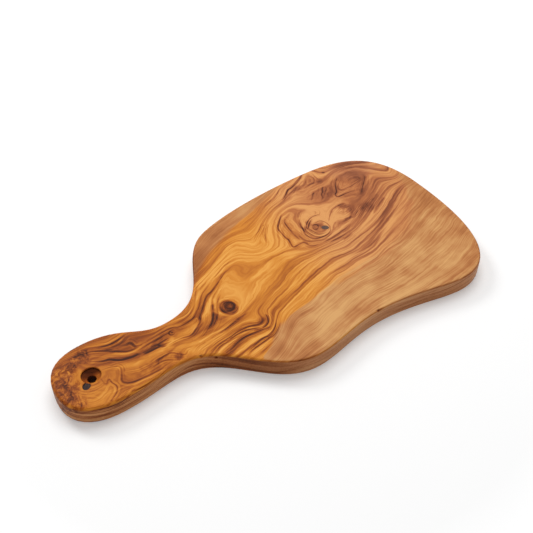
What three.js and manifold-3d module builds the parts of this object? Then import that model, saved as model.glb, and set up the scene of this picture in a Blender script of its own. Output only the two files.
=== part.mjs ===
// Paddle serving board: one plank of olive wood with a rounded grip, a neck and a wide blade, a hanging
// hole drilled through the grip, and two natural voids in the wood stopped with dark filler.
// Millimetres, +Z up. The origin is under the middle of the board, the grip points to -X, and the far
// side of the blade is +Y.

import * as THREE from "three";
import { mergeVertices } from "three/addons/utils/BufferGeometryUtils.js";
import Module from "manifold-3d";

// Plank
const overallLength = 450;
const overallWidth = 224;
const boardThickness = 19;

// Grip, measured from the tip of the handle and from the board's middle line
const gripWidth = 76;
const gripMiddle = -12.5;
const gripReach = 43;
const tipDrop = 2.5;

// Neck between the grip and the blade; its two hollows lie a little apart along the board
const neckWidth = 50;
const neckMiddle = -20.5;
const neckReachFar = 112;
const neckReachNear = 103;

// Blade: shoulders measured from the tip of the handle, the rest from the far end of the board
const farShoulderReach = 213;
const farShoulderDepth = 19.5;
const farShoulderSlope = 20.5;
const nearShoulderReach = 210;
const nearShoulderDepth = 5;
const waistFromEnd = 163.5;
const waistDepth = 14.5;
const nearWidestFromEnd = 66;
const farWidestFromEnd = 92;
const endCrown = 26;

// Eased edges: a light round on the blade that grows softer on the handle, and the round underneath
const bladeEdgeRadius = 2;
const gripEdgeRadius = 3;
const undersideEdgeRadius = 2.5;

// Hanging hole: a drilled recess with a straight wall and a conical floor, and a bore through the rest
const holeReach = 33.5;
const holeRimDiameter = 17.6;
const holeWallDepth = 2.6;
const holeConeDepth = 3;
const holeBoreDiameter = 8.2;
const holeEase = 0.5;

// Stopped void in the eye of the big knot on the blade
const knotFromEnd = 132;
const knotFromMiddle = 24;
const knotFillLength = 7.4;
const knotFillWidth = 5.6;
const knotFillDepth = 3;
const knotFillTurn = -35;

// Stopped void that breaks the rim of the hanging hole
const rimFillFromHole = 12;
const rimFillBearing = -134;
const rimFillLength = 7.8;
const rimFillWidth = 6.4;
const rimFillDepth = 5;
const rimFillTurn = 46;
const rimFillSink = 0.7;

// Clearance round a filler in its void, and how finely curves are cut into flats
const fillClearance = 0.3;
const facetLength = 6;
const edgeSteps = 4;
const holeSides = 40;
const bowlSides = 24;
const bowlSteps = 5;

const handleTip = -overallLength / 2;
const farEnd = overallLength / 2;
const farSide = overallWidth / 2;
const nearSide = -overallWidth / 2;

// The outline runs anticlockwise through the places where the edge turns. heading is the way the edge runs
// there, in degrees; before and after are how full the curve is on each side, as a share of the distance to
// the next station.
const stations = [
  { x: handleTip, y: gripMiddle - tipDrop, heading: -90, before: 0.5, after: 0.46 },
  { x: handleTip + gripReach, y: gripMiddle - gripWidth / 2, heading: 0, before: 0.41, after: 0.45 },
  { x: handleTip + neckReachNear, y: neckMiddle - neckWidth / 2, heading: 0, before: 0.32, after: 0.38 },
  { x: handleTip + nearShoulderReach, y: nearSide + nearShoulderDepth, heading: 0, before: 0.4, after: 0.29 },
  { x: farEnd - waistFromEnd, y: nearSide + waistDepth, heading: 0, before: 0.41, after: 0.43 },
  { x: farEnd - nearWidestFromEnd, y: nearSide, heading: 0, before: 0.24, after: 0.42 },
  { x: farEnd, y: endCrown, heading: 90, before: 0.26, after: 0.5 },
  { x: farEnd - farWidestFromEnd, y: farSide, heading: 180, before: 0.49, after: 0.38 },
  {
    x: handleTip + farShoulderReach,
    y: farSide - farShoulderDepth,
    heading: 180 + farShoulderSlope,
    before: 0.25,
    after: 0.38,
  },
  { x: handleTip + neckReachFar, y: neckMiddle + neckWidth / 2, heading: 180, before: 0.48, after: 0.33 },
  { x: handleTip + gripReach, y: gripMiddle + gripWidth / 2, heading: 180, before: 0.52, after: 0.45 },
];

function polar(length, degrees) {
  const angle = THREE.MathUtils.degToRad(degrees);
  return new THREE.Vector2(length * Math.cos(angle), length * Math.sin(angle));
}

// Where the drill goes through the grip, and the two natural voids that are stopped.
const holePlace = new THREE.Vector2(handleTip + holeReach, gripMiddle);
const knotVoid = {
  length: knotFillLength,
  width: knotFillWidth,
  depth: knotFillDepth,
  turn: knotFillTurn,
  place: new THREE.Vector2(farEnd - knotFromEnd, knotFromMiddle),
};
const rimVoid = {
  length: rimFillLength,
  width: rimFillWidth,
  depth: rimFillDepth,
  turn: rimFillTurn,
  place: holePlace.clone().add(polar(rimFillFromHole, rimFillBearing)),
};

// Points along the outline, one curve between each station and the next.
function outlinePoints() {
  return stations.flatMap((from, index) => {
    const to = stations[(index + 1) % stations.length];
    const start = new THREE.Vector2(from.x, from.y);
    const end = new THREE.Vector2(to.x, to.y);
    const span = start.distanceTo(end);
    const leaving = start.clone().add(polar(span * from.after, from.heading));
    const arriving = end.clone().sub(polar(span * to.before, to.heading));
    const curve = new THREE.CubicBezierCurve(start, leaving, arriving, end);
    const steps = Math.max(3, Math.round(curve.getLength() / facetLength));
    return curve.getSpacedPoints(steps).slice(0, -1);
  });
}

// Unit vectors that point into the wood at each outline point.
function inwardNormals(points) {
  return points.map((point, index) => {
    const previous = points[(index + points.length - 1) % points.length];
    const next = points[(index + 1) % points.length];
    const along = next.clone().sub(previous).normalize();
    return new THREE.Vector2(-along.y, along.x);
  });
}

// How far each ring of the loft lies inside the outline, and its height, from the underside up to the serving
// face. The round under the board is the same all along; the one on top softens from the blade to the grip.
function edgeRings() {
  const gripEnds = handleTip + neckReachNear;
  const bladeStarts = handleTip + nearShoulderReach;
  const topRadius = (x) => {
    const share = THREE.MathUtils.smoothstep(x, gripEnds, bladeStarts);
    return THREE.MathUtils.lerp(gripEdgeRadius, bladeEdgeRadius, share);
  };
  const quarterTurn = Array.from({ length: edgeSteps + 1 }, (_, step) => (step / edgeSteps) * (Math.PI / 2));
  const underside = quarterTurn.map((angle) => ({
    inset: () => undersideEdgeRadius * (1 - Math.sin(angle)),
    height: () => undersideEdgeRadius * (1 - Math.cos(angle)),
  }));
  const topside = quarterTurn.map((angle) => ({
    inset: (x) => topRadius(x) * (1 - Math.cos(angle)),
    height: (x) => boardThickness - topRadius(x) * (1 - Math.sin(angle)),
  }));
  return [...underside, ...topside];
}

// The plank is lofted through those rings and closed by a flat face below and above.
function plankGeometry() {
  const points = outlinePoints();
  const inward = inwardNormals(points);
  const count = points.length;
  const rings = edgeRings().map(({ inset, height }) =>
    points.map((point, index) => {
      const { x, y } = point.clone().addScaledVector(inward[index], inset(point.x));
      return new THREE.Vector3(x, y, height(point.x));
    }),
  );
  const indices = [];
  for (let ring = 0; ring < rings.length - 1; ring += 1) {
    const low = ring * count;
    const high = low + count;
    for (let index = 0; index < count; index += 1) {
      const next = (index + 1) % count;
      indices.push(low + index, low + next, high + next);
      indices.push(low + index, high + next, high + index);
    }
  }
  const last = rings.length - 1;
  for (const [a, b, c] of THREE.ShapeUtils.triangulateShape(rings[0], [])) {
    indices.push(a, c, b);
  }
  for (const face of THREE.ShapeUtils.triangulateShape(rings[last], [])) {
    indices.push(...face.map((corner) => last * count + corner));
  }
  const geometry = new THREE.BufferGeometry().setFromPoints(rings.flat());
  geometry.setIndex(indices);
  return geometry;
}

// A turned shape about the vertical axis, from radius and height pairs that start and end on that axis.
function turned(profile, sides) {
  const points = profile.map(([radius, height]) => new THREE.Vector2(radius, height));
  return new THREE.LatheGeometry(points, sides).rotateX(Math.PI / 2);
}

// What the drill takes out for the hanging hole, with both its mouths eased.
function holeGeometry() {
  const rim = holeRimDiameter / 2;
  const bore = holeBoreDiameter / 2;
  const wallFoot = boardThickness - holeWallDepth;
  const coneFoot = wallFoot - holeConeDepth;
  const profile = [
    [0, -boardThickness],
    [bore + holeEase, -boardThickness],
    [bore + holeEase, 0],
    [bore, holeEase],
    [bore, coneFoot],
    [rim, wallFoot],
    [rim, boardThickness - holeEase],
    [rim + holeEase, boardThickness],
    [rim + holeEase, 2 * boardThickness],
    [0, 2 * boardThickness],
  ];
  return turned(profile, holeSides).translate(holePlace.x, holePlace.y, 0);
}

// A natural void is a rounded bowl under the serving face. It is drawn larger all round by spare, and carried
// up over the face by rise where it is to be cut out.
function bowlGeometry(natural, spare, rise) {
  const bowl = Array.from({ length: bowlSteps + 1 }, (_, step) => {
    const angle = (step / bowlSteps - 1) * (Math.PI / 2);
    return [Math.cos(angle), (natural.depth + spare) * Math.sin(angle)];
  });
  const lid = rise > 0 ? [[1, rise], [0, rise]] : [[0, 0]];
  return turned([...bowl, ...lid], bowlSides)
    .scale(natural.length / 2 + spare, natural.width / 2 + spare, 1)
    .rotateZ(THREE.MathUtils.degToRad(natural.turn))
    .translate(natural.place.x, natural.place.y, boardThickness);
}

const wasm = await Module();
wasm.setup();

// A closed body that can be joined and cut, from a geometry whose shared corners are merged.
function solid(geometry) {
  const bare = new THREE.BufferGeometry();
  bare.setAttribute("position", geometry.getAttribute("position"));
  bare.setIndex(geometry.getIndex());
  const merged = mergeVertices(bare);
  const mesh = new wasm.Mesh({
    numProp: 3,
    vertProperties: new Float32Array(merged.getAttribute("position").array),
    triVerts: new Uint32Array(merged.getIndex().array),
  });
  return new wasm.Manifold(mesh);
}

function piece(name, body, material) {
  const { vertProperties, triVerts } = body.getMesh();
  const geometry = new THREE.BufferGeometry();
  geometry.setAttribute("position", new THREE.BufferAttribute(vertProperties, 3));
  geometry.setIndex(new THREE.BufferAttribute(triVerts, 1));
  const mesh = new THREE.Mesh(geometry, material);
  mesh.name = name;
  return mesh;
}

const hole = solid(holeGeometry());
const knotCut = solid(bowlGeometry(knotVoid, fillClearance, boardThickness));
const rimCut = solid(bowlGeometry(rimVoid, fillClearance, boardThickness));
const board = solid(plankGeometry()).subtract(hole).subtract(knotCut).subtract(rimCut);

// The filler in the knot is sanded flush. The one at the rim has shrunk below the face, and it stops where the
// hole was drilled through it.
const knotFiller = solid(bowlGeometry(knotVoid, 0, 0));
const shrinkage = new THREE.BoxGeometry(gripWidth, gripWidth, boardThickness);
shrinkage.translate(rimVoid.place.x, rimVoid.place.y, 1.5 * boardThickness - rimFillSink);
const rimFiller = solid(bowlGeometry(rimVoid, 0, 0)).subtract(solid(shrinkage)).subtract(hole);

const oiledOlive = new THREE.MeshStandardMaterial({ color: 0xb4702f, roughness: 0.42, metalness: 0 });
const darkFiller = new THREE.MeshStandardMaterial({ color: 0x3a3735, roughness: 0.5, metalness: 0 });

const servingBoard = new THREE.Group();
servingBoard.add(piece("board", board, oiledOlive));
servingBoard.add(piece("knot_fill", knotFiller, darkFiller));
servingBoard.add(piece("rim_fill", rimFiller, darkFiller));

export default servingBoard;
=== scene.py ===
import math

import bmesh
import bpy
import numpy as np
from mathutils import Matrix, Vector


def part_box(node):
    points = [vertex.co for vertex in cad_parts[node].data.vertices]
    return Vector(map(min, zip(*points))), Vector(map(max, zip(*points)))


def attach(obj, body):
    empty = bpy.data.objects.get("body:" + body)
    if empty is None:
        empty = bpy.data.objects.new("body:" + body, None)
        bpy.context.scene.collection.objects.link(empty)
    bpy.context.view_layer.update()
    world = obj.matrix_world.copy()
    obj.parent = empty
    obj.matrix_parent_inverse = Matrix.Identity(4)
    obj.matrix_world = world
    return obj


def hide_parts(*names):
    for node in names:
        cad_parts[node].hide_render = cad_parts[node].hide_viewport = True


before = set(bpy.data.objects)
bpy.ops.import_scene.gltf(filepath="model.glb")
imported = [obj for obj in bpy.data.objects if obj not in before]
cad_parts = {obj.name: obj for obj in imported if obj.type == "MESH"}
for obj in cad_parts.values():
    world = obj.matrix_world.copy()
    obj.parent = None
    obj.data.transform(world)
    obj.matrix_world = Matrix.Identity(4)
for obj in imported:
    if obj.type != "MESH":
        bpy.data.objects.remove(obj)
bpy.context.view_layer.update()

scene = bpy.context.scene
scene.view_settings.view_transform = "Standard"


# The board: one plank of olive wood, sawn to a paddle, its edges eased by sanding and its faces oiled.
# Its flat faces are sliced finely here, so that the figure of the wood has points to be drawn on.
# Sizes are in millimetres, unless a comment says otherwise.
MM = 0.001
BOARD_TOP = 19.0
TOP_STEP = 1.5
UNDER_STEP = 3.4
SIDE_STEP = 1.7
# Where the drawn lines stand close together, the last one round the knot: (from x, to x, from y, to y).
CROWDED = [(-230, -20, -130, 130), (18, 46, 34, 70), (46, 182, -2, 112), (65, 107, 9, 54)]
# Open pits and one nick in the near edge: (x, y, z, radius, depth).
PITS = [
    (-103.3, -48.4, 17.9, 1.4, 1.4),
    (-92.2, -55.3, 15.6, 1.5, 1.5),
    (-87.2, -59.1, 13.6, 1.3, 1.2),
    (60.3, -97.1, 18.2, 1.6, 1.0),
]
PIT_CUTS = 6
PIT_AROUND = 4.0
PIT_LEVEL = 0.9
# A face is level, or upright, by how far its normal rises. The flat faces end within the band.
LEVEL = 0.9999
UPRIGHT = 0.05
FACE_BAND = 0.2
FLAT_ANGLE = math.radians(0.1)
SHARP_EDGE = math.radians(32)
# In metres: points this near are one point, or lie on a cutting plane.
SAME_PLACE = 1e-6
ON_PLANE = 1e-7


def cad_copy(node):
    """A copy of a CAD node's mesh, and the same opened for work, with its loose triangles joined."""
    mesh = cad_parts[node].data.copy()
    bm = bmesh.new()
    bm.from_mesh(mesh)
    bmesh.ops.remove_doubles(bm, verts=bm.verts, dist=SAME_PLACE)
    return mesh, bm


def finished(bm, mesh, name):
    """The object of a mesh, shaded smooth, with its sharp edges left crisp."""
    for face in bm.faces:
        face.smooth = True
    for edge in bm.edges:
        edge.smooth = edge.calc_face_angle(0.0) < SHARP_EDGE
    bm.to_mesh(mesh)
    bm.free()
    made = bpy.data.objects.new(name, mesh)
    scene.collection.objects.link(made)
    return made


def level_faces(bm, up):
    """The faces of the flat top, or of the underside where up is -1, each with its middle."""
    found = []
    for face in bm.faces:
        middle = face.calc_center_median() / MM
        inside = BOARD_TOP - middle.z if up > 0 else middle.z
        if up * face.normal.z > LEVEL and inside < FACE_BAND:
            found.append((face, middle))
    return found


def strips(bm, faces, axis, step):
    """Cuts flat faces into strips square to an axis, and gives back all the strips."""
    normal = Vector((axis == 0, axis == 1, axis == 2))
    reach = [v.co.dot(normal) for f in faces for v in f.verts]
    left, made = list(faces), []
    for number in range(1, int((max(reach) - min(reach)) / step) + 1):
        place = min(reach) + number * step
        around = set(left)
        for face in left:
            around.update(face.edges)
            around.update(face.verts)
        cut = bmesh.ops.bisect_plane(
            bm, geom=list(around), dist=ON_PLANE, plane_co=normal * place, plane_no=normal
        )
        left = []
        for part in cut["geom"]:
            if isinstance(part, bmesh.types.BMFace):
                ahead = part.calc_center_median().dot(normal) > place
                (left if ahead else made).append(part)
    return made + left


def divided(bm, faces, cuts):
    """Divides faces evenly, by cutting each of their edges."""
    edges = list({edge for face in faces for edge in face.edges})
    bmesh.ops.subdivide_edges(bm, edges=edges, cuts=cuts, use_grid_fill=True)


board_mesh, bm = cad_copy("board")
board_mesh.name = "olive_board"
bmesh.ops.dissolve_limit(bm, angle_limit=FLAT_ANGLE, verts=bm.verts, edges=bm.edges)
served = [face for face, middle in level_faces(bm, 1)]
under = [face for face, middle in level_faces(bm, -1)]
for step, faces in ((TOP_STEP * MM, served), (UNDER_STEP * MM, under)):
    strips(bm, strips(bm, faces, 0, step), 1, step)
for from_x, to_x, from_y, to_y in CROWDED:
    faces = level_faces(bm, 1)
    divided(bm, [f for f, at in faces if from_x < at.x < to_x and from_y < at.y < to_y], 1)
strips(bm, [f for f in bm.faces if abs(f.normal.z) < UPRIGHT], 2, SIDE_STEP * MM)
for x, y, z, radius, pit_depth in PITS:
    pit = Vector((x, y, z)) * MM
    walls = [f for f in bm.faces if f.normal.z < PIT_LEVEL]
    around = [f for f in walls if (f.calc_center_median() - pit).length < PIT_AROUND * MM]
    inward = -sum((f.normal for f in around), Vector()).normalized()
    divided(bm, around, PIT_CUTS)
    for vert in bm.verts:
        away = (vert.co - pit).length / (radius * MM)
        if away < 1:
            vert.co += inward * pit_depth * MM * (1 - away**2)
board = finished(bm, board_mesh, "olive_board")

# The figure of the wood, with one painted shadow among its dark lines, drawn in millimetres on the plan:
# (half width, depth, soft side, points along it).
# A line with a soft side fades out slowly over that width, to its left, or to its right if below nothing.
DARK_LINES = [
    (1.2, 0.38, 3, [(-186.5, 2), (-177, -4), (-170.5, -6.5), (-163.5, -12), (-153.5, -15), (-147.5, -15),
        (-143, -16.5)]),
    (0.6, 0.30, 0, [(-147, -14.5), (-143, -16), (-132, -16), (-120, -14.5), (-114, -14.5)]),
    (0.9, 0.29, 4, [(-183, -12.5), (-173.5, -14.5), (-167, -19), (-170, -27.5), (-172.5, -32.5),
        (-171.5, -36.5), (-164, -40.5), (-141, -41.5), (-134.5, -40), (-126.5, -39.5)]),
    (0.5, 0.20, -6, [(-167.5, -26.5), (-157, -31), (-151.5, -31.5), (-140, -32), (-126, -31.5)]),
    (0.5, 0.24, 4, [(-182.5, 12), (-177, 9.5), (-168, 3.5), (-163, -1), (-152.5, -7.5), (-143.5, -7.5),
        (-137, -5)]),
    (0.5, 0.22, 0, [(-175.5, 12.5), (-167.5, 7.5), (-155.5, 5), (-145, 8.5), (-141.5, 8.5)]),
    (0.5, 0.26, -2.5, [(-173, 13.5), (-161.5, 9), (-146, 11.5)]),
    (0.5, 0.28, 0, [(-148.5, -12), (-131.5, -10), (-108, -8.5)]),
    (0.8, 0.26, -3, [(-144.5, -18.5), (-132.5, -18.5), (-115.5, -19)]),
    (0.5, 0.22, 2, [(-155.5, 1.5), (-151, 0.5), (-147.5, 0.5), (-146, -2), (-145.5, -5.5), (-142, -7),
        (-135.5, -6.5)]),
    (0.5, 0.32, 1.5, [(-186.5, -19), (-185.5, -28.5), (-181, -25.5), (-180.5, -30), (-179, -34.5),
        (-179.5, -38), (-182.5, -42), (-190, -47), (-193.5, -51)]),
    (0.5, 0.28, 2, [(-210.5, -10.5), (-211.5, -17.5), (-214.5, -22), (-214.5, -27), (-221.5, -34.5)]),
    (0.5, 0.28, 0, [(-209, -23.5), (-211.5, -36), (-214, -39.5)]),
    (0.6, 0.26, 2, [(-208.5, 1), (-209, -5.5), (-212, -9.5), (-216, -12), (-218, -17), (-222, -20.5)]),
    (0.9, 0.36, -5, [(-123.5, -20.5), (-118, -21.5), (-111.5, -21), (-105.5, -21.5), (-100, -23),
        (-94, -21.5), (-83, -14), (-79, -7.5), (-74, -3), (-61.5, 10), (-54, 13), (-46, 17),
        (-30.5, 26.5), (-24.5, 29)]),
    (0.7, 0.34, 0, [(-141.5, -8), (-111.5, -5), (-100.5, -8), (-83, -5), (-64.5, 13.5), (-57.5, 18.5),
        (-28.5, 33.5), (-15, 38)]),
    (0.5, 0.26, 0, [(-107, -3), (-89, -1.5), (-76, 7.5), (-63.5, 24), (-52, 30.5), (-24, 42.5),
        (-2.5, 52.5)]),
    (0.7, 0.38, 2.5, [(-38.5, 18), (-56, 6), (-60.5, 1), (-68.5, -13.5), (-76, -22), (-89.5, -30),
        (-96, -31.5)]),
    (0.6, 0.36, 0, [(-48, 5), (-53.5, 1), (-58.5, -5), (-67.5, -18), (-78.5, -27), (-85, -29.5)]),
    (0.5, 0.28, 0, [(-133, -11), (-127, -10.5), (-114.5, -8.5)]),
    (0.8, 0.28, 3, [(-135.5, -15), (-128.5, -15.5), (-126, -20), (-120.5, -21)]),
    (1, 0.28, 3.5, [(-144.5, -31), (-129, -30.5), (-122.5, -31), (-114.5, -39), (-109, -36.5),
        (-104.5, -37)]),
    (0.6, 0.26, 3, [(-147, -36), (-135.5, -34.5), (-129.5, -36), (-123.5, -40), (-118, -42.5)]),
    (0.5, 0.24, 0, [(-104.5, -42.5), (-98, -40), (-85.5, -39)]),
    (1.2, 0.19, 0, [(-206, -32), (-199.5, -35.5), (-191, -33.5), (-185, -29.5)]),
    (0.6, 0.28, 0, [(82, 83.5), (92, 89), (104.5, 93.5), (114.5, 99), (123.5, 102)]),
    (0.7, 0.36, -3, [(-95, -50.5), (-91.5, -48.5), (-81.5, -46), (-71, -45.5), (-61, -43.5), (-50.5, -44),
        (-41, -47.5), (-36.5, -47), (-33, -44), (-31.5, -40.5)]),
    (0.8, 0.42, 2, [(-92.5, -54.5), (-89, -51.5), (-81, -48.5), (-76.5, -48.5), (-69, -47), (-61.5, -46),
        (-53.5, -47), (-41, -52)]),
    (0.5, 0.26, 0, [(-93, -51.5), (-89.5, -49.5), (-81, -47), (-76.5, -47), (-58, -45)]),
    (1.1, 0.40, 2.5, [(-86, -60), (-81.5, -58), (-77, -57.5), (-68.5, -54.5), (-56.5, -52.5),
        (-36, -55.5), (-33, -55)]),
    (0.5, 0.28, 0, [(-88, -58), (-68, -52.5), (-59, -51), (-49.5, -51.5)]),
    (0.6, 0.40, 1.5, [(-73.5, -71), (-69, -69), (-48.5, -64), (-40.5, -64), (-32.5, -60.5),
        (-25, -53.5)]),
    (0.6, 0.36, 1.5, [(-70, -72), (-61, -69), (-44, -66.5), (-35.5, -65.5), (-27, -60), (-23, -56)]),
    (0.5, 0.22, 0, [(-61.5, -77.5), (-36.5, -70), (-27.5, -63.5)]),
    (0.8, 0.42, 2, [(-28.5, -40), (-29, -44), (-31, -48.5), (-33.5, -51), (-37.5, -52.5), (-41, -52.5)]),
    (0.5, 0.36, 0, [(-91, -36.5), (-86.5, -37), (-81.5, -36), (-72, -35.5), (-57, -32), (-44, -30),
        (-38.5, -28.5)]),
    (0.5, 0.30, 0, [(-95.5, -35.5), (-91.5, -36.5), (-76, -37), (-55, -32.5), (-45.5, -31)]),
    (0.6, 0.32, 0, [(20, 47.5), (31, 55.5), (46.5, 66.5)]),
    (0.7, 0.42, 0, [(30, 37.5), (35.5, 51), (48, 64.5)]),
    (0.6, 0.23, 0, [(56.5, 85.5), (64.5, 90), (82, 96.5), (91, 103), (98, 106.5)]),
    (0.9, 0.35, 0, [(131, 15), (153, 26), (176, 36)]),
    # A painted shadow, cast by a dish that stood on the board, drawn here as a dark line.
    (1, 0.30, 0, [(148, 11.5), (166, 20.5), (178, 27)]),
    (0.5, 0.25, 0, [(168, 88), (178, 87), (188, 80), (196, 72)]),
    (0.5, 0.23, 0, [(160, 95), (174, 94), (187, 89), (199, 80)]),
    (0.9, 0.32, 2.5, [(70.5, 69.5), (57.5, 57.5), (53, 52.5), (51, 47.5), (50, 33.5), (50.5, 30),
        (48, 21), (48.5, 18.5), (52.5, 18.5), (60, 18.5), (62, 16), (62.5, 12), (64.5, 9.5), (68, 8),
        (72.5, 8)]),
    (0.8, 0.30, -2, [(78, 64.5), (68.5, 59.5), (64.5, 56.5), (62.5, 51.5), (60.5, 37.5), (59.5, 21.5)]),
    (0.6, 0.35, 0, [(62.5, 40.5), (63.5, 32), (63, 26.5), (65, 18), (75.5, 11.5), (86, 11), (97, 14.5)]),
    (0.7, 0.44, 1.5, [(90, 61), (81, 53.5), (74.5, 41), (73, 36), (70, 27.5), (71, 20), (73, 16.5),
        (76.5, 15), (85.5, 14), (93.5, 16.5), (99.5, 23)]),
    (0.7, 0.49, 0, [(100, 54), (103, 52.5), (105, 49.5), (103.5, 46), (100.5, 44), (98.5, 45), (90.5, 45),
        (82, 40.5), (77, 34), (78, 23), (83.5, 18), (91.5, 17.5)]),
    (0.6, 0.40, 0, [(100.5, 52), (100.5, 49.5), (99, 47.5), (96.5, 47)]),
    (0.7, 0.49, 0, [(91.5, 42), (87, 41), (79.5, 35), (78, 31), (79.5, 24), (82, 21)]),
    (0.6, 0.33, 0, [(79.5, 40.5), (75, 34.5), (74, 27), (76.5, 19), (83, 15.5)]),
    (0.6, 0.40, 0, [(88, 36), (95.5, 35.5), (98.5, 29.5), (97.5, 22), (91.5, 18)]),
    (0.6, 0.35, 0, [(83, 32.5), (85, 34), (87.5, 34), (89, 31.5), (87.5, 28.5), (85, 27), (82.5, 27.5),
        (82, 30), (83, 32.5)]),
    (0.8, 0.50, 1.5, [(135.5, 44.5), (121, 43.5), (113, 39.5), (102, 29.5)]),
    (1.1, 0.33, 2.5, [(108.5, 25), (104.5, 23), (98, 17.5)]),
    (0.7, 0.40, 0, [(119.5, 14), (108, 10.5), (92, 7.5), (77.5, 7)]),
    (0.6, 0.35, 0, [(113, 6.5), (99, 3.5), (81.5, 3)]),
    (0.8, 0.40, 0, [(111, 1), (100, -1.5), (95, -3)]),
    (0.6, 0.33, 0, [(130.5, 39), (125.5, 38), (117, 35)]),
    (0.6, 0.33, 0, [(136, 33), (129.5, 31), (119.5, 30)]),
    (0.6, 0.30, 0, [(128.5, 22.5), (122.5, 21.5), (116.5, 22), (112.5, 24), (108.5, 25)]),
    (0.9, 0.50, 1.5, [(129, 110.5), (116.5, 102.5), (104, 98), (99, 97), (91, 91), (82.5, 86)]),
    (0.6, 0.43, 0, [(131.5, 105.5), (134.5, 102.5), (135, 98.5), (133, 94), (129, 91), (124.5, 91),
        (113.5, 88.5)]),
    (0.6, 0.35, 0, [(128.5, 103), (121, 95.5), (115, 93), (104.5, 90.5)]),
    (0.7, 0.43, 0, [(138.5, 109), (139, 104.5), (138, 98), (138.5, 93.5), (141.5, 92)]),
    (0.6, 0.35, 0, [(121, 104), (104.5, 92), (98.5, 89)]),
    (0.7, 0.50, 2, [(135, 80.5), (131, 77), (127.5, 72.5), (124, 69.5), (122, 65), (117.5, 61.5)]),
    (0.6, 0.41, 0, [(136.5, 78), (134, 74), (125.5, 67), (123, 63)]),
    (0.6, 0.38, 0, [(120.5, 79), (113, 71.5), (108, 67.5)]),
    (0.8, 0.47, 2, [(158.5, 85), (147.5, 74.5), (141, 64.5), (137, 61.5), (135.5, 58), (138, 56),
        (147.5, 56), (157.5, 54.5), (162, 53)]),
    (0.6, 0.41, 0, [(160, 79), (154, 75.5), (148.5, 71), (146, 67), (146.5, 63.5), (150.5, 62.5),
        (155.5, 63), (160.5, 62.5), (173, 65), (178.5, 68), (180, 70.5)]),
    (0.6, 0.32, 0, [(163, 71), (166, 73), (173.5, 72.5), (177, 70.5), (176, 68), (165, 67), (162, 68.5),
        (163, 71)]),
    (0.6, 0.35, 0, [(135.5, 53), (150.5, 50.5), (155, 48), (161, 47.5)]),
    (0.7, 0.41, 2, [(185, 72), (182, 65), (170, 54.5), (158, 44)]),
    (0.6, 0.35, 0, [(115, 35.5), (119.5, 34.5), (125, 35), (129.5, 38.5), (139, 37.5)]),
    (0.7, 0.38, 1.5, [(124.5, 19.5), (130.5, 21.5), (149.5, 30.5)]),
]
# Lines that keep to the near edge and come out on the sides.
EDGE_LINES = [
    (0.7, 0.46, 0, [(-223, -22), (-222.5, -30.5), (-216, -41.5), (-208.5, -47), (-200, -50.5),
        (-189, -53), (-185, -54), (-177, -52.8), (-174, -50), (-168.5, -47.9), (-161, -50), (-152, -48.5),
        (-143.5, -48), (-136.5, -45), (-128, -43)]),
    (1.4, 0.18, 0, [(-226, -22), (-220, -44), (-205, -56), (-185, -58), (-135, -53.5), (-112, -54),
        (-96, -62), (-84, -75), (-70, -91), (-50, -106), (-20, -112), (15, -111)]),
    (1.2, 0.21, 0, [(-226, -30), (-216, -53), (-200, -62), (-180, -63.5), (-150, -60.5), (-125, -58.5),
        (-106, -62), (-92, -74), (-76, -93), (-55, -109), (-25, -116)]),
    (2.2, 0.18, 0, [(-105, -52), (-96, -59.5), (-87, -69), (-77, -82), (-66, -94), (-54, -103)]),
    (1.2, 0.20, 0, [(-108, -57), (-97, -66), (-72, -96), (-58, -107)]),
    (1, 0.15, 0, [(-60, -112), (-35, -120), (0, -121), (40, -114), (80, -111), (120, -114), (160, -118)]),
    (0.8, 0.13, 0, [(-40, -112), (-10, -116), (30, -111), (70, -106), (110, -108), (150, -112),
        (180, -112)]),
]
# Pale stripes: (half width, height, points).
GOLD_LINES = [
    (1, 0.18, [(-182, 7.5), (-167, 0), (-158, -7), (-147.5, -10), (-122.5, -6.5)]),
    (2.5, 0.14, [(-162.5, -19.5), (-158, -21.5), (-152.5, -24.5), (-140, -25), (-127.5, -27.5)]),
    (1.2, 0.16, [(-166, -43.5), (-159.5, -43), (-147, -44.5), (-137, -44)]),
    (0.6, 0.16, [(-171.5, 9), (-159.5, 5.5), (-147.5, 7.5)]),
    (4, 0.16, [(-119.5, -19), (-97, -17.5), (-90, -15)]),
    (3, 0.16, [(-77, -7.5), (-70.5, -4.5), (-60, 4)]),
    (4, 0.16, [(-106, -41.5), (-99, -43.5), (-89.5, -41.5), (-75, -39)]),
    (1, 0.22, [(-95.5, -34.5), (-82, -33), (-73.5, -33), (-55, -31)]),
    (1.8, 0.16, [(-140, -23), (-132.5, -24), (-124.5, -24), (-119, -25)]),
    (2.5, 0.14, [(-58.5, 29), (-31, 40.5), (-4.5, 54)]),
    (2.5, 0.14, [(-70, 14), (-45.5, 26.5), (-33, 31.5)]),
    (5, 0.15, [(-205, -41.5), (-195, -42.5), (-184, -35.5), (-176, -25.5)]),
    (1.4, 0.18, [(-88.5, -54.5), (-79.5, -51.5), (-62.5, -49.5), (-48.5, -50.5)]),
    (3, 0.18, [(-74.5, -63.5), (-56.5, -60), (-40.5, -59)]),
    (3, 0.16, [(-65, -73.5), (-49, -71.5), (-42, -70.5)]),
    (0.8, 0.16, [(-71, -70), (-55.5, -66), (-49.5, -65.5)]),
]
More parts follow.
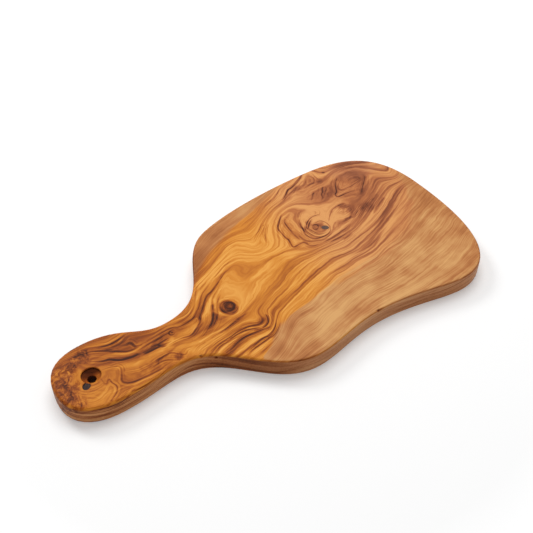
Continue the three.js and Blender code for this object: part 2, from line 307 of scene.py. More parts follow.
# The run of the fibres where nothing is drawn.
GUIDE_LINES = [
    [(-30, -97), (30, -80), (60, -74), (90, -73), (130, -72), (170, -66), (205, -56)],
    [(-40, -104), (-5, -98), (30, -90), (70, -86), (110, -88), (150, -86), (190, -74)],
    [(-20, -76), (20, -66), (60, -58), (100, -56), (150, -48), (200, -30)],
    [(-15, -50), (20, -36), (60, -26), (100, -22), (140, -12), (180, 4), (212, 20)],
    [(-40, -5), (-10, 8), (20, 18), (45, 18)],
    [(-30, -30), (0, -15), (30, 0), (60, 2), (100, 2), (140, 12), (175, 28)],
    [(-45, 62), (-15, 76), (20, 88), (60, 98), (90, 107)],
    [(-15, 90), (20, 100), (60, 106)],
    [(150, 99), (175, 98), (200, 88)],
    [(180, 75), (195, 68), (210, 55)],
    [(-222, -30), (-216, -44), (-200, -52)],
]
# Rings of the knots: (centre x, centre y, radius, across to along, start and sweep in degrees,
# half width, depth).
KNOT_RINGS = [
    (-51, -13, 7.6, 1.08, 40, 300, 1.1, 0.60),
    (-51, -13, 5, 1.1, 200, 290, 0.9, 0.50),
    (-51, -13, 2.2, 1.1, 20, 300, 0.7, 0.40),
    (-110.5, -10.5, 2.7, 0.9, 0, 330, 0.5, 0.34),
    (-193.5, -14, 13, 0.95, 190, 120, 0.5, 0.18),
    (-194, -14.5, 15, 0.95, 200, 140, 0.5, 0.20),
    (-194.5, -14.5, 17.5, 0.95, 210, 110, 0.5, 0.16),
]
# Dark, burled or, where the depth is below nothing, pale patches: (x, y, radius, depth, burl).
PATCHES = [
    (89, 29, 10, 0.16, 0.0),
    (93.4, 24.8, 4.6, 0.34, 0.0),
    (-51, -13, 11, 0.34, 0.0),
    (-36, -46, 7, 0.22, 0.0),
    (-110.5, -10.5, 1.5, 0.35, 0.0),
    (-65, -21, 9, 0.16, 0.0),
    (-119, -38, 6, 0.34, 0.3),
    (137, 91, 6, 0.20, 0.0),
    (150.5, 100, 2.6, 0.40, 0.0),
    (150, 26, 12, 0.24, 0.2),
    (132, 34, 12, 0.12, 0.0),
    (180, 104, 22, 0.20, 0.2),
    (196, 90, 14, 0.12, 0.0),
    (160, 70, 26, -0.16, 0.0),
    (105, 94, 30, -0.18, 0.0),
    (-210, 2, 14, 0.16, 1.0),
    (-201, 5, 9, 0.20, 1.0),
    (-195, 9, 9, 0.17, 1.0),
    (-187, 13, 9, 0.18, 0.9),
    (-217, -8, 13, 0.24, 1.0),
    (-218, -22, 13, 0.24, 1.0),
    (-214, -34, 12, 0.20, 0.9),
    (-208, -16, 9, 0.16, 0.8),
    (-187, 4, 6, 0.16, 0.6),
    (-200, -21, 6, 0.22, 0.3),
]


# How far off a drawn line is felt, and how finely lines and rings are drawn.
LINE_REACH = 7.0
CURVE_PARTS = 6
RING_POINTS = 25
RING_OPENING = 0.1
TINY = 1e-6


def drawn(points):
    """A smooth line through a few points."""
    known = np.array(points, float)
    ends = np.vstack([2 * known[0] - known[1], known, 2 * known[-1] - known[-2]])
    made = []
    for a, b, c, d in zip(ends, ends[1:], ends[2:], ends[3:]):
        for s in np.arange(CURVE_PARTS) / CURVE_PARTS:
            bend = (2 * a - 5 * b + 4 * c - d) * s**2 + (3 * b - a - 3 * c + d) * s**3
            made.append((2 * b + (c - a) * s + bend) / 2)
    return np.array(made + [known[-1]])


def ringed(x, y, radius, flatness, start, sweep):
    """A line that winds round a knot, opening a little as it goes."""
    share = np.linspace(0, 1, RING_POINTS)
    angle = np.radians(start + sweep * share)
    opened = radius * (1 + RING_OPENING * share)
    return np.stack([x + opened * np.cos(angle), y + opened * flatness * np.sin(angle)], 1)


def beside(spots, line, half_width, taper):
    """Which spots lie near a line, how far to its left or right, and how thick the line is there."""
    low, high = line.min(0) - LINE_REACH, line.max(0) + LINE_REACH
    near = np.nonzero(((spots > low) & (spots < high)).all(1))[0]
    side = np.full(len(near), LINE_REACH)
    along = np.zeros(len(near))
    lengths = np.hypot(*np.diff(line, axis=0).T)
    upto = np.cumsum(lengths) - lengths
    for number, (start, end) in enumerate(zip(line, line[1:])):
        run, off = end - start, spots[near] - start
        share = np.clip(off @ run / max(run @ run, TINY), 0, 1)
        away = np.hypot(*(off - share[:, None] * run).T)
        leftward = np.where(off[:, 1] * run[0] > off[:, 0] * run[1], 1.0, -1.0)
        closer = away < np.abs(side)
        side = np.where(closer, leftward * away, side)
        along = np.where(closer, (upto[number] + share * lengths[number]) / lengths.sum(), along)
    return near, side, half_width * (1 - taper * np.abs(2 * along - 1) ** 3)


def eased(low, high, value):
    """0 below low, 1 above high, with a soft rise between."""
    share = np.clip((value - low) / (high - low), 0, 1)
    return share * share * (3 - 2 * share)


def along_board(at, stops):
    """A value that changes along the board, through stops of (x, value)."""
    return np.interp(at[:, 0], *zip(*stops))


# Below the serving face the same figure is met further along, because the growth layers lean.
LEAN = (0.25, -0.9)
places = np.empty(len(board_mesh.vertices) * 3, np.float32)
board_mesh.vertices.foreach_get("co", places)
places = places.reshape(-1, 3).astype(float) / MM
depth = BOARD_TOP - places[:, 2]
spots = places[:, :2] + depth[:, None] * LEAN

# The tone goes from 0, nearly black, to 1, pale gold. A dark line keeps its side, half width and depth at
# each spot, so that the material can draw it sharply, and throws a soft shade to both sides, which reaches
# some half widths and a margin.
LINE_CORE = 0.60
LINE_EDGE, LINE_FADE = 0.5, 1.5
LINE_SHADE, SOFT_SHADE = 0.34, 0.62
LINE_SPREAD, SOFT_SPREAD = 2.0, 1.2
SHADE_MARGIN = 1.0
END_TAPER = 1.0
# Where the two nearest lines are almost equally far off, the sharp drawing fades out.
NO_GAP, FULL_GAP = 0.1, 0.7
# The lines of the big knot crowd, so the tone holds them there as well.
KNOT_X, KNOT_Y = 86, 31
KNOT_INNER, KNOT_OUTER = 17, 23
KNOT_CORE = 0.8
KNOT_BLUR = 0.3
shade = np.zeros(len(spots))
gold = np.zeros(len(spots))
burl = np.zeros(len(spots))
line_side = np.full(len(spots), LINE_REACH)
line_half = np.zeros(len(spots))
line_dark = np.zeros(len(spots))
first_off = np.full(len(spots), LINE_REACH)
next_off = np.full(len(spots), LINE_REACH)
lines = [drawn(points) for half_width, amount, soft, points in DARK_LINES]
marks = [
    (drawn(points), half_width, amount, soft)
    for half_width, amount, soft, points in DARK_LINES + EDGE_LINES
]
for x, y, radius, flatness, start, sweep, half_width, amount in KNOT_RINGS:
    marks.append((ringed(x, y, radius, flatness, start, sweep), half_width, amount, 0))
in_knot = eased(KNOT_OUTER, KNOT_INNER, np.hypot(spots[:, 0] - KNOT_X, spots[:, 1] - KNOT_Y))
for line, half_width, amount, soft in marks:
    near, side, half = beside(spots, line, half_width, END_TAPER)
    away = np.abs(side)
    hard_reach = (SOFT_SPREAD if soft else LINE_SPREAD) * half_width + SHADE_MARGIN
    reach = np.where(side * soft > 0, abs(soft), hard_reach)
    strength = SOFT_SHADE if soft else LINE_SHADE
    ends = half / half_width
    shade[near] = np.maximum(shade[near], strength * amount * ends * eased(reach, 0, away))
    ringed_knot = KNOT_CORE * amount * in_knot[near] * eased(half + KNOT_BLUR, half - KNOT_BLUR, away)
    shade[near] = np.maximum(shade[near], ringed_knot)
    off_line = away - half
    closer = off_line < first_off[near]
    next_off[near] = np.where(closer, first_off[near], np.minimum(next_off[near], off_line))
    first_off[near] = np.minimum(first_off[near], off_line)
    dark = LINE_CORE * amount * eased(half_width + LINE_FADE, half_width + LINE_EDGE, away)
    for kept, values in ((line_side, side), (line_half, half), (line_dark, dark)):
        kept[near[closer]] = values[closer]
line_dark *= eased(NO_GAP, FULL_GAP, next_off - first_off)
line_shade = shade.copy()

# The pale stripes and the patches go over the dark lines.
GOLD_SPREAD = 1.8
PATCH_CORE = 0.3
for half_width, amount, points in GOLD_LINES:
    lines.append(drawn(points))
    near, side, half = beside(spots, lines[-1], half_width, taper=0.0)
    gold[near] = np.maximum(gold[near], amount * eased(GOLD_SPREAD * half_width, 0, np.abs(side)))
for x, y, radius, amount, burled in PATCHES:
    inside = eased(radius, PATCH_CORE * radius, np.hypot(spots[:, 0] - x, spots[:, 1] - y))
    shade = np.maximum(shade, amount * inside)
    gold = np.maximum(gold, -amount * inside)
    burl = np.maximum(burl, burled * inside)

# Pale sapwood lies along the near side and along the far left edge, and the far right turns rosy.
NEAR_SAP = [
    (-120, -170), (-72, -120), (-64, -88), (-58, -80.5), (-51, -76), (-43, -71.5), (-35, -66), (-24, -59),
    (-10, -54), (60, -48), (120, -42), (165, -24), (195, 4), (212, 36), (230, 76),
]
FAR_SAP = [(-75, 24), (-50, 44), (-30, 59), (0, 74), (30, 85), (60, 94), (80, 102), (95, 110), (115, 122)]
FAR_SAP_START, FAR_SAP_FULL = -11, 9
SAP_BLUR = [(-70, 3.5), (-30, 5), (20, 9), (90, 18), (200, 26)]
ROSY_MIDDLE, ROSY_SIZE = (190, 96), (62, 46)
ROSY_INNER, ROSY_OUTER = 0.45, 1.25
ROSY_START, ROSY_FULL = 20, 100
ROSY_MOST = 0.8
blur = along_board(spots, SAP_BLUR)
near_sap = eased(blur, -blur, spots[:, 1] - along_board(spots, NEAR_SAP))
far_sap = eased(FAR_SAP_START, FAR_SAP_FULL, spots[:, 1] - along_board(spots, FAR_SAP))
sap = np.maximum(near_sap, far_sap)
rosy = eased(ROSY_OUTER, ROSY_INNER, np.hypot(*((spots - ROSY_MIDDLE) / ROSY_SIZE).T))
rosy = np.maximum(rosy, ROSY_MOST * eased(ROSY_START, ROSY_FULL, spots[:, 0]))

# Heartwood, sapwood and the sides each have a plain tone along the board, on which the figure is drawn.
PLAIN_TONE = [(-225, 0.66), (-170, 0.73), (-110, 0.83), (-60, 0.91), (0, 0.98), (110, 1.04), (200, 0.98)]
NEAR_SAP_TONE = [(-70, 0.84), (-42, 0.82), (-20, 0.80), (40, 0.85), (90, 0.82), (150, 0.79), (215, 0.73)]
FAR_SAP_TONE = [(-75, 0.46), (-40, 0.50), (-15, 0.62), (40, 0.76), (100, 0.72)]
SIDE_TONE = [
    (-225, 0.94), (-150, 0.98), (-118, 0.92), (-100, 0.76), (-86, 0.52), (-68, 0.50), (-50, 0.62),
    (-25, 1.0), (40, 1.08), (90, 0.98), (150, 0.9), (225, 0.9),
]
# The side's tone sets in below the upper round, and ends above the lower one.
SIDE_START, SIDE_FULL = 1.0, 3.0
FOOT_END, FOOT_FULL = 0.2, 1.5
GOLD_SHARE = 0.8
HOLE_X, HOLE_Y, HOLE_REACH = -191.5, -12.5, 9.4
off_x, off_y = places[:, 0] - HOLE_X, places[:, 1] - HOLE_Y
off_hole = np.maximum(np.hypot(off_x, off_y), TINY)
side_wood = eased(SIDE_START, SIDE_FULL, depth) * eased(FOOT_END, FOOT_FULL, places[:, 2])
side_wood *= off_hole > HOLE_REACH
tone = along_board(spots, PLAIN_TONE)
tone += near_sap * (along_board(spots, NEAR_SAP_TONE) - tone)
tone += far_sap * (along_board(spots, FAR_SAP_TONE) - tone)
tone += side_wood * (along_board(places, SIDE_TONE) - tone)
tone += GOLD_SHARE * gold - shade

# The pits are painted dark inside, as shade. The drilled hole is darker inside, partly because its end grain
# soaks up oil and partly as painted shade, deepest on its far side.
# Painted shade inside each pit, darkest at its middle.
PIT_SHADE = 0.7
PIT_INNER, PIT_OUTER = 0.4, 1.1
for x, y, z, radius, pit_depth in PITS:
    off_pit = np.linalg.norm(places - (x, y, z), axis=1)
    tone -= PIT_SHADE * eased(PIT_OUTER * radius, PIT_INNER * radius, off_pit)
# Painted shade in the hole, over its darker end grain: an even part, and a lean that deepens it towards the
# far side.
HOLE_DARK_AND_SHADE, HOLE_SHADE_LEAN = 0.20, 0.34
HOLE_DARK_START, HOLE_DARK_FULL = 0.3, 2.2
SHADED_SIDE = (0.1, 0.99)
shaded_side = (off_x * SHADED_SIDE[0] + off_y * SHADED_SIDE[1]) / off_hole
hole_dark_and_shade_mask = (off_hole < HOLE_REACH) * eased(HOLE_DARK_START, HOLE_DARK_FULL, depth)
tone -= hole_dark_and_shade_mask * (HOLE_DARK_AND_SHADE + HOLE_SHADE_LEAN * shaded_side)

# The run of the fibres is a height map of the plan, level along every drawn line and peaked at the knots,
# each of them (x, y, radius, height). It is made of soft humps, set out in rows.
FIBRE_KNOTS = [
    (88.5, 29, 22, 26),
    (-50, -13, 14, 14),
    (-36, -45, 9, 7),
    (-194, -14, 17, 14),
    (162, 69, 14, 6),
]
FAN_START, FAN_END, FAN_SLOPE = -95.0, -60.0, 0.25
SPREAD = 15.0
HUMP_STEP = 14.0
HUMPS_X, HUMPS_Y = 236, 134
hump_x = np.arange(-HUMPS_X, HUMPS_X + 1, HUMP_STEP)
hump_y = np.arange(-HUMPS_Y, HUMPS_Y + 1, HUMP_STEP)


def plain_height(at):
    """The height with no line drawn: even across the board, rising over the blade, with the knots."""
    fanned = np.clip(at[:, 0] - FAN_START, 0, FAN_END - FAN_START)
    rise = FAN_SLOPE * (fanned**2 / 2 / (FAN_END - FAN_START) + np.maximum(at[:, 0] - FAN_END, 0))
    peaks = sum(
        height * np.exp(-((at[:, 0] - x) ** 2 + (at[:, 1] - y) ** 2) / radius**2)
        for x, y, radius, height in FIBRE_KNOTS
    )
    return at[:, 1] - rise + peaks


def humps(at):
    """How much the rows of humps, in x and in y, lift each spot, and how far off they are."""
    off_x, off_y = (at[:, :1] - hump_x) / SPREAD, (at[:, 1:] - hump_y) / SPREAD
    return np.exp(-(off_x**2) / 2), np.exp(-(off_y**2) / 2), off_x, off_y


def slopes(at, run):
    """How steeply each hump rises at each spot, along its run."""
    lift_x, lift_y, off_x, off_y = humps(at)
    by_x = (-off_x * lift_x)[:, :, None] * lift_y[:, None, :] * run[:, :1, None]
    by_y = lift_x[:, :, None] * (-off_y * lift_y)[:, None, :] * run[:, 1:, None]
    return (by_x + by_y).reshape(len(at), -1)


# Every other point of a line is enough. Elsewhere, at even places, the humps are held nearly flat.
STIFFNESS = 0.6
STEADINESS = 1e-3
EVEN_STEP = 15
EVEN_X, EVEN_Y = 225, 120
lines += [drawn(points) for points in GUIDE_LINES]
thinned = [line[::2] for line in lines]
starts = np.vstack([line[:-1] for line in thinned])
runs = np.vstack([line[1:] - line[:-1] for line in thinned])
weights = np.sqrt(np.maximum(np.hypot(*runs.T), TINY))[:, None]
climb = (plain_height(starts + runs) - plain_height(starts)) / weights[:, 0]
even_x = np.arange(-EVEN_X, EVEN_X + 1, EVEN_STEP)
even_y = np.arange(-EVEN_Y, EVEN_Y + 1, EVEN_STEP)
evenly = np.array([(x, y) for x in even_x for y in even_y], float)
level = [slopes(starts + runs / 2, runs / weights)]
for direction in ((1.0, 0.0), (0.0, 1.0)):
    level.append(STIFFNESS * slopes(evenly, np.tile(direction, (len(evenly), 1))))
wanted = np.concatenate([-climb, np.zeros(2 * len(evenly))])
sizes = np.linalg.lstsq(np.vstack(level), wanted, rcond=STEADINESS)[0].reshape(len(hump_x), len(hump_y))
lift_x, lift_y = humps(spots)[:2]
fibre = plain_height(spots) + SPREAD * ((lift_x @ sizes) * lift_y).sum(1)


def keep(name, kind, values):
    """Keeps a value, or four of them, at each point of the board for its material to read."""
    made = board_mesh.attributes.new(name, kind, "POINT")
    field = "color" if kind == "FLOAT_COLOR" else "value"
    made.data.foreach_set(field, values.astype(np.float32).ravel())


# The tone kept here holds the wood's figure and also the painted shade of the pits and the hole, and the
# painted dish shadow.
keep("figure", "FLOAT_COLOR", np.stack([tone, sap, rosy, burl], 1))
keep("drawn_lines", "FLOAT_COLOR", np.stack([line_side, line_half, line_dark, line_shade], 1))
keep("beside_line", "FLOAT", np.clip(first_off, 0, LINE_REACH))
keep("grain", "FLOAT", fibre)


def wire(tree, kind, values=(), out=0, **settings):
    """Adds a node with its settings, and fills its inputs with values or with what other nodes put out."""
    made = tree.nodes.new(kind)
    for name, value in settings.items():
        setattr(made, name, value)
    for key, value in dict(values).items():
        if isinstance(value, bpy.types.NodeSocket):
            tree.links.new(value, made.inputs[key])
        else:
            made.inputs[key].default_value = value
    return made.outputs[out]


def reckon(tree, operation, *values):
    """One step of arithmetic on numbers."""
    return wire(tree, "ShaderNodeMath", enumerate(values), operation=operation)


def between(tree, value, low, high, to_low, to_high):
    """A value taken from one range to another, and held at both ends."""
    values = {"Value": value, "From Min": low, "From Max": high, "To Min": to_low, "To Max": to_high}
    return wire(tree, "ShaderNodeMapRange", values, clamp=True)


def noise(tree, vector, scale, detail=2.0, roughness=0.5, twist=0.0):
    """Soft noise, with so many finer layers on it."""
    values = dict(Vector=vector, Scale=scale, Detail=detail, Roughness=roughness, Distortion=twist)
    return wire(tree, "ShaderNodeTexNoise", values)


def parted(tree, kind, value):
    """The three numbers that make up a place or a colour."""
    return wire(tree, kind, {0: value}).node.outputs


def linear(red, green, blue):
    """A colour as it is seen, 0 to 255, in the units that the shaders take."""
    share = [level / 255 for level in (red, green, blue)]
    return [c / 12.92 if c < 0.04045 else ((c + 0.055) / 1.055) ** 2.4 for c in share] + [1.0]


def tones(tree, value, stops):
    """The colour for a tone, through stops of (tone, colour)."""
    made = tree.nodes.new("ShaderNodeValToRGB")
    steps = made.color_ramp.elements
    while len(steps) < len(stops):
        steps.new(0.5)
    for step, (place, colour) in zip(steps, stops):
        step.position = place
        step.color = linear(*colour)
    tree.links.new(value, made.inputs[0])
    return made.outputs[0]


def mixed(tree, share, first, second):
    """A share of the second colour laid over the first."""
    return wire(tree, "ShaderNodeMix", {0: share, 6: first, 7: second}, out=2, data_type="RGBA")


def centred(tree, value):
    """A noise as a change to both sides of nothing."""
    return reckon(tree, "SUBTRACT", value, 0.5)


def with_part(tree, value, amount, base):
    """A base, with an amount of a value added to it."""
    return reckon(tree, "MULTIPLY_ADD", value, amount, base)


def new_finish(name):
    """A material, its nodes and its shader."""
    made = bpy.data.materials.new(name)
    made.use_nodes = True
    return made, made.node_tree, made.node_tree.nodes["Principled BSDF"]


HEART = [(0.0, (58, 20, 2)), (0.2, (106, 48, 12)), (0.42, (152, 76, 22)), (0.62, (190, 110, 34)),
         (0.8, (214, 135, 47)), (1.0, (236, 167, 78))]
SAPWOOD = [(0.0, (100, 52, 20)), (0.4, (156, 92, 46)), (0.66, (188, 123, 71)), (1.0, (220, 167, 106))]
ROSY = [(0.0, (70, 32, 18)), (0.35, (134, 74, 46)), (0.66, (180, 110, 70)), (1.0, (220, 155, 98))]
SIDE_WOOD = [(0.0, (66, 32, 16)), (0.35, (132, 74, 40)), (0.66, (178, 116, 76)), (1.0, (212, 154, 110))]
olive, tree, shader = new_finish("olive_wood")
place = wire(tree, "ShaderNodeTexCoord", out="Object")
in_mm = wire(tree, "ShaderNodeVectorMath", {0: place, 3: 1 / MM}, operation="SCALE")
x, y, z = parted(tree, "ShaderNodeSeparateXYZ", in_mm)
figure = wire(tree, "ShaderNodeAttribute", out="Color", attribute_name="figure")
drawn_tone, drawn_sap, drawn_rosy = parted(tree, "ShaderNodeSeparateColor", figure)
drawn_burl = wire(tree, "ShaderNodeAttribute", out="Alpha", attribute_name="figure")
drawn_lines = wire(tree, "ShaderNodeAttribute", out="Color", attribute_name="drawn_lines")
line_side, line_half, line_dark = parted(tree, "ShaderNodeSeparateColor", drawn_lines)
line_shade = wire(tree, "ShaderNodeAttribute", out="Alpha", attribute_name="drawn_lines")
off_line = wire(tree, "ShaderNodeAttribute", out="Fac", attribute_name="beside_line")
fibre_at = wire(tree, "ShaderNodeAttribute", out="Fac", attribute_name="grain")

# A change is added to the tone. A noise is (scale, detail, roughness, twist) or (scale, amount of it), growth
# lines are (scale, thickness), and a range is (from low, from high, to low, to high).
LINE_HEART = 0.1
BUSY_NOISE = (0.05, 1.0)
BUSY_RANGE = (0.36, 0.62, 0.35, 0.9)
BUSY_ROSY = 0.4
BROAD_CHANGE, FINE_CHANGE, HAIR_CHANGE = 0.60, 0.55, 0.22
STRONG_LINES = (0.16, 0.09)
STRONG_CHANGE = -0.36
# Weaker growth lines: (scale, thickness, change, further change beside a drawn line).
WEAK_LINES = [(0.45, 0.14, -0.17, -0.45), (1.0, 0.18, -0.07, -0.25)]


def growth_lines(tree, along, scale, thickness):
    """Thin dark lines along the fibres, where a slow noise passes its middle."""
    slow = centred(tree, noise(tree, along, scale, 1.0))
    return between(tree, reckon(tree, "ABSOLUTE", slow), LINE_HEART * thickness, thickness, 1.0, 0.0)


def fibre_change(tree, along, broad, fine):
    """How much the growth layers and the fibres lighten or darken the wood, most beside the drawn lines."""
    busy = between(tree, noise(tree, along, *BUSY_NOISE), *BUSY_RANGE)
    busy = with_part(tree, drawn_rosy, BUSY_ROSY, busy)
    strong = reckon(tree, "MULTIPLY", growth_lines(tree, along, *STRONG_LINES), busy)
    change = reckon(tree, "MULTIPLY", centred(tree, broad), BROAD_CHANGE)
    change = with_part(tree, centred(tree, fine), FINE_CHANGE, change)
    change = with_part(tree, strong, STRONG_CHANGE, change)
    for scale, thickness, plain, by_line in WEAK_LINES:
        amount = with_part(tree, line_shade, by_line, plain)
        change = with_part(tree, growth_lines(tree, along, scale, thickness), amount, change)
    return change


def stretched(tree, across, first, by_first, second, by_second):
    """Places for a noise that is drawn out along two ways, and left as it is across the fibres."""
    lengths = {1: reckon(tree, "MULTIPLY", first, by_first), 2: reckon(tree, "MULTIPLY", second, by_second)}
    return wire(tree, "ShaderNodeCombineXYZ", {0: across, **lengths})


# On the faces the fibres follow the drawn lines; on the sides they show as long streaks round the board.
WANDERS = [(0.014, 9.0), (0.12, 1.3)]
FACE_LONG, FACE_DEEP = 0.035, 0.2
LAYERS = (0.012, 24.0)
SIDE_LONG = 0.02
BROAD_NOISE = (0.13, 2.0, 0.5)
FINE_NOISE = (0.7, 4.0, 0.65)
HAIR_NOISE = (2.2, 2.0, 0.6)
wander = fibre_at
for scale, amount in WANDERS:
    wander = with_part(tree, noise(tree, in_mm, scale, 1.0), amount, wander)
lengthwise = stretched(tree, wander, x, FACE_LONG, z, FACE_DEEP)
layer = with_part(tree, noise(tree, in_mm, LAYERS[0], 1.0), LAYERS[1], z)
round_side = stretched(tree, layer, x, SIDE_LONG, y, SIDE_LONG)
broad = noise(tree, lengthwise, *BROAD_NOISE)
fine = noise(tree, lengthwise, *FINE_NOISE)
hair = noise(tree, lengthwise, *HAIR_NOISE)

# The streaks of the sides are weaker on the blade than on the grip, and speckled all over.
SIDE_RANGE = (0.15, 0.5, 1.0, 0.0)
SIDE_BROAD = (0.16, 2.0, 0.5)
SIDE_FINE = (0.7, 3.0)
BLADE_RANGE = (-130, -80, 1.0, 0.64)
SPECKLE = (0.7, 0.3)
normal = wire(tree, "ShaderNodeTexCoord", out="Normal")
turned = parted(tree, "ShaderNodeSeparateXYZ", normal)[2]
sides = between(tree, reckon(tree, "ABSOLUTE", turned), *SIDE_RANGE)
side_broad = noise(tree, round_side, *SIDE_BROAD)
side_change = fibre_change(tree, round_side, side_broad, noise(tree, round_side, *SIDE_FINE))
side_change = reckon(tree, "MULTIPLY", side_change, between(tree, x, *BLADE_RANGE))
speckle = centred(tree, noise(tree, in_mm, SPECKLE[0]))
side_change = with_part(tree, speckle, SPECKLE[1], side_change)

# Sapwood is clouded and finely streaked, most along the near side.
SAP_STREAKS = (0.075, 0.75)
SAP_CLOUDS = (0.035, 0.8)
SAP_FINE = 0.75
SAP_RANGE = (-30, 30, 1.0, 0.5)
SAP_LINES = (0.45, 0.14)
SAP_LINE_CHANGE = -0.09
streaks = centred(tree, noise(tree, lengthwise, SAP_STREAKS[0]))
clouds = centred(tree, noise(tree, in_mm, SAP_CLOUDS[0]))
sap_change = reckon(tree, "MULTIPLY", streaks, SAP_STREAKS[1])
sap_change = with_part(tree, clouds, SAP_CLOUDS[1], sap_change)
sap_change = with_part(tree, centred(tree, fine), SAP_FINE, sap_change)
sap_change = reckon(tree, "MULTIPLY", sap_change, between(tree, y, *SAP_RANGE))
sap_change = with_part(tree, growth_lines(tree, lengthwise, *SAP_LINES), SAP_LINE_CHANGE, sap_change)

# Thinner lines run beside each drawn one and die out away from it, in the burl and past the line's ends.
RIPPLE_WANDER = (0.1, 2.5)
RIPPLE_LINES = (0.42, 0.10)
RIPPLE_DARK, RIPPLE_MEAN = 0.27, 0.36
RIPPLE_START = 1.0
RIPPLE_BURL = -0.85
RIPPLE_ENDS = (0.05, 0.45, 0.0, 1.0)
beside_at = with_part(tree, noise(tree, in_mm, RIPPLE_WANDER[0], 1.0), RIPPLE_WANDER[1], off_line)
beside_at = stretched(tree, beside_at, x, SIDE_LONG, y, SIDE_LONG)
ripples = reckon(tree, "SUBTRACT", growth_lines(tree, beside_at, *RIPPLE_LINES), RIPPLE_MEAN)
for share in (
    between(tree, off_line, RIPPLE_START, LINE_REACH, RIPPLE_DARK, 0.0),
    with_part(tree, drawn_burl, RIPPLE_BURL, 1.0),
    between(tree, line_half, *RIPPLE_ENDS),
):
    ripples = reckon(tree, "MULTIPLY", ripples, share)

# The changes of the heartwood, the sapwood and the sides meet, and the burl and the pores go over them all.
BURL_NOISE = (0.17, 5.0, 0.75, 1.0)
BURL_RANGE = (0.36, 0.62, -0.6, 0.4)
BURL_CHANGE = 0.64
heart_change = reckon(tree, "SUBTRACT", fibre_change(tree, lengthwise, broad, fine), ripples)
face_change = wire(tree, "ShaderNodeMix", {0: drawn_sap, 2: heart_change, 3: sap_change})
change = wire(tree, "ShaderNodeMix", {0: sides, 2: face_change, 3: side_change})
change = with_part(tree, centred(tree, hair), HAIR_CHANGE, change)
mottle = between(tree, noise(tree, in_mm, *BURL_NOISE), *BURL_RANGE)
change = with_part(tree, reckon(tree, "MULTIPLY", mottle, drawn_burl), BURL_CHANGE, change)
tone = reckon(tree, "ADD", drawn_tone, change)

# Each drawn line wavers and thins along its run, is softer the wider it is, and is streaked by the fibres.
WAVER = 1.3
THIN_RANGE = (0.35, 0.65, 0.5, 1.1)
LINE_SOFT, LEAST_SOFT = 0.40, 0.10
INK_RANGE = (-0.6, 0.7, 1.0, 0.0)
STREAK_RANGE = (0.35, 0.62, 1.15, 0.65)
waver = reckon(tree, "ABSOLUTE", with_part(tree, centred(tree, fine), WAVER, line_side))
thinned_half = reckon(tree, "MULTIPLY", line_half, between(tree, broad, *THIN_RANGE))
off_edge = reckon(tree, "SUBTRACT", waver, thinned_half)
off_edge = reckon(tree, "DIVIDE", off_edge, with_part(tree, line_half, LINE_SOFT, LEAST_SOFT))
inked = reckon(tree, "MULTIPLY", between(tree, off_edge, *INK_RANGE), line_dark)
inked = reckon(tree, "MULTIPLY", inked, between(tree, hair, *STREAK_RANGE))
tone = reckon(tree, "SUBTRACT", tone, inked)

# The eased edge is darker where it crosses sapwood, and the sapwood's border is ragged.
EDGE_TURN = 0.6
EDGE_RANGE = (0.1, 0.35, 1.0, 0.0)
EDGE_CHANGE, EDGE_SAP = -0.25, -0.7
RAGGEDNESS = 1.3
RAGGED_RANGE = (0.34, 0.66, 0.0, 1.0)
off_round = reckon(tree, "ABSOLUTE", reckon(tree, "SUBTRACT", turned, EDGE_TURN))
eased_edge = between(tree, off_round, *EDGE_RANGE)
tone = with_part(tree, reckon(tree, "MULTIPLY", eased_edge, drawn_sap), EDGE_CHANGE, tone)
ragged = with_part(tree, centred(tree, broad), RAGGEDNESS, drawn_sap)
ragged = between(tree, ragged, *RAGGED_RANGE)
ragged = reckon(tree, "MULTIPLY", ragged, with_part(tree, eased_edge, EDGE_SAP, 1.0))

# Oiled and satin: the fibres change the gloss a little and stand out by less than a hair.
SIDE_SHARE = 0.75
GLOSS_RANGE = (0.3, 0.7, 0.42, 0.58)
OIL_SHINE = 0.10
RELIEF, RELIEF_METRES = 0.2, 0.0003
wood = mixed(tree, drawn_rosy, tones(tree, tone, HEART), tones(tree, tone, ROSY))
wood = mixed(tree, ragged, wood, tones(tree, tone, SAPWOOD))
wood = mixed(tree, reckon(tree, "MULTIPLY", sides, SIDE_SHARE), wood, tones(tree, tone, SIDE_WOOD))
relief = {"Height": reckon(tree, "ADD", hair, fine), "Strength": RELIEF, "Distance": RELIEF_METRES}
tree.links.new(wood, shader.inputs["Base Color"])
tree.links.new(between(tree, fine, *GLOSS_RANGE), shader.inputs["Roughness"])
tree.links.new(wire(tree, "ShaderNodeBump", relief), shader.inputs["Normal"])
shader.inputs["Specular IOR Level"].default_value = OIL_SHINE
board_mesh.materials.clear()
board_mesh.materials.append(olive)
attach(board, "root")
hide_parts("board")


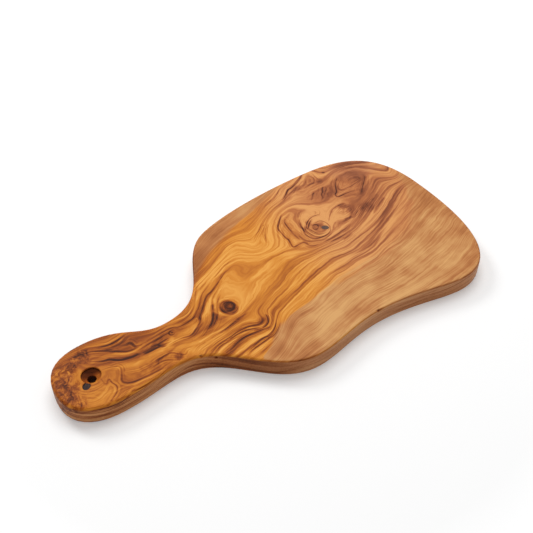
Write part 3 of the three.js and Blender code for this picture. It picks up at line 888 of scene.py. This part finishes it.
# The dark stopping in the knot's eye and in the void at the hole's rim: a filled resin paste, set hard
# and sanded, bonded to the wood all round. The solids' clearance is closed here, all but a hair.
FILL_GAP, FILL_CLEAR = 0.3, 0.05
GRIT_NOISE = (900.0, 3.0, 0.6)
GRIT_RANGE = (0.3, 0.7, 0.6, 0.8)
PASTE_SHINE = 0.15
SHADES = {"knot_fill": [(0.3, (70, 52, 45)), (0.55, (100, 76, 66)), (0.75, (130, 100, 86))],
          "rim_fill": [(0.3, (36, 25, 22)), (0.55, (60, 43, 39)), (0.75, (86, 65, 58))]}
for node, shades in SHADES.items():
    low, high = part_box(node)
    middle = (low + high) / 2
    mesh, bm = cad_copy(node)
    wider = [1 + 2 * (FILL_GAP - FILL_CLEAR) * MM / (high[k] - low[k]) for k in range(2)]
    bmesh.ops.translate(bm, verts=bm.verts, vec=-middle)
    bmesh.ops.scale(bm, verts=bm.verts, vec=(wider[0], wider[1], 1))
    bmesh.ops.translate(bm, verts=bm.verts, vec=middle)
    fill = finished(bm, mesh, node.replace("fill", "stopping"))
    stopping, tree, shader = new_finish("dark_stopping_" + node)
    grit = noise(tree, wire(tree, "ShaderNodeTexCoord", out="Object"), *GRIT_NOISE)
    tree.links.new(tones(tree, grit, shades), shader.inputs["Base Color"])
    tree.links.new(between(tree, grit, *GRIT_RANGE), shader.inputs["Roughness"])
    shader.inputs["Specular IOR Level"].default_value = PASTE_SHINE
    mesh.materials.clear()
    mesh.materials.append(stopping)
    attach(fill, "root")
    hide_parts(node)


# The studio: a pale sheet of floor that runs to white, an even sky, a broad soft box high beyond the blade
# and a smaller key lamp behind the board. None of it belongs to the board. Sizes are in metres.
FLOOR_DROP = 0.0002
FLOOR_REACH = 4.0
FLOOR_WHITE, FLOOR_GLOW = 0.82, 0.23
FLOOR_NEAR, FLOOR_FAR = 0.28, 0.85
WHITE = (1, 1, 1, 1)


def as_seen(tree):
    """1 for what the camera sees, straight, in a shine or through glass, and 0 for what only lights."""
    rays = tree.nodes.new("ShaderNodeLightPath").outputs
    seen = reckon(tree, "MAXIMUM", rays["Is Camera Ray"], rays["Is Glossy Ray"])
    return reckon(tree, "MAXIMUM", seen, rays["Is Transmission Ray"])


def shown(tree, kind, surface):
    """Ends a set of nodes with its output."""
    tree.links.new(surface, tree.nodes.new(kind).inputs["Surface"])


floor_mesh = bpy.data.meshes.new("floor")
bm = bmesh.new()
bmesh.ops.create_grid(bm, x_segments=1, y_segments=1, size=FLOOR_REACH)
bmesh.ops.translate(bm, verts=bm.verts, vec=(0, 0, -FLOOR_DROP))
bm.to_mesh(floor_mesh)
bm.free()
floor = bpy.data.objects.new("floor", floor_mesh)
scene.collection.objects.link(floor)
paper = bpy.data.materials.new("pale_floor")
paper.use_nodes = True
tree = paper.node_tree
tree.nodes.clear()
place = wire(tree, "ShaderNodeTexCoord", out="Object")
off_middle = wire(tree, "ShaderNodeVectorMath", {0: place}, out="Value", operation="LENGTH")
glow = between(tree, off_middle, FLOOR_NEAR, FLOOR_FAR, FLOOR_GLOW, 1.0)
glow = reckon(tree, "MULTIPLY", as_seen(tree), glow)
matt = wire(tree, "ShaderNodeBsdfDiffuse", {"Color": (FLOOR_WHITE, FLOOR_WHITE, FLOOR_WHITE, 1)})
lit = wire(tree, "ShaderNodeEmission", {"Color": WHITE, "Strength": glow})
shown(tree, "ShaderNodeOutputMaterial", wire(tree, "ShaderNodeAddShader", {0: matt, 1: lit}))
floor_mesh.materials.append(paper)

SKY = 0.42
world = bpy.data.worlds.new("even_sky")
scene.world = world
world.use_nodes = True
tree = world.node_tree
tree.nodes.clear()
strength = between(tree, as_seen(tree), 0.0, 1.0, SKY, 1.0)
sky = wire(tree, "ShaderNodeBackground", {"Color": WHITE, "Strength": strength})
shown(tree, "ShaderNodeOutputWorld", sky)

# Lamps: (name, place, width, watts).
LAMPS = [("soft_box", (0.60, 0.65, 1.95), 1.5, 20.4), ("key_lamp", (-0.30, 1.60, 1.40), 0.7, 15.0)]
for name, spot, size, power in LAMPS:
    lamp_data = bpy.data.lights.new(name, "AREA")
    lamp_data.shape = "DISK"
    lamp_data.size = size
    lamp_data.energy = power
    lamp = bpy.data.objects.new(name, lamp_data)
    lamp.location = spot
    lamp.rotation_euler = (-Vector(spot)).to_track_quat("-Z", "Y").to_euler()
    scene.collection.objects.link(lamp)

SENSOR, LENS = 36.0, 52.14
CAMERA_PLACE = (-0.30915, -0.43875, 0.54069)
CAMERA_DEGREES = (46.57, 0, -35.29)
camera_data = bpy.data.cameras.new("camera")
camera_data.sensor_width = SENSOR
camera_data.lens = LENS
camera = bpy.data.objects.new("camera", camera_data)
camera.location = CAMERA_PLACE
camera.rotation_euler = [math.radians(angle) for angle in CAMERA_DEGREES]
scene.collection.objects.link(camera)
scene.camera = camera
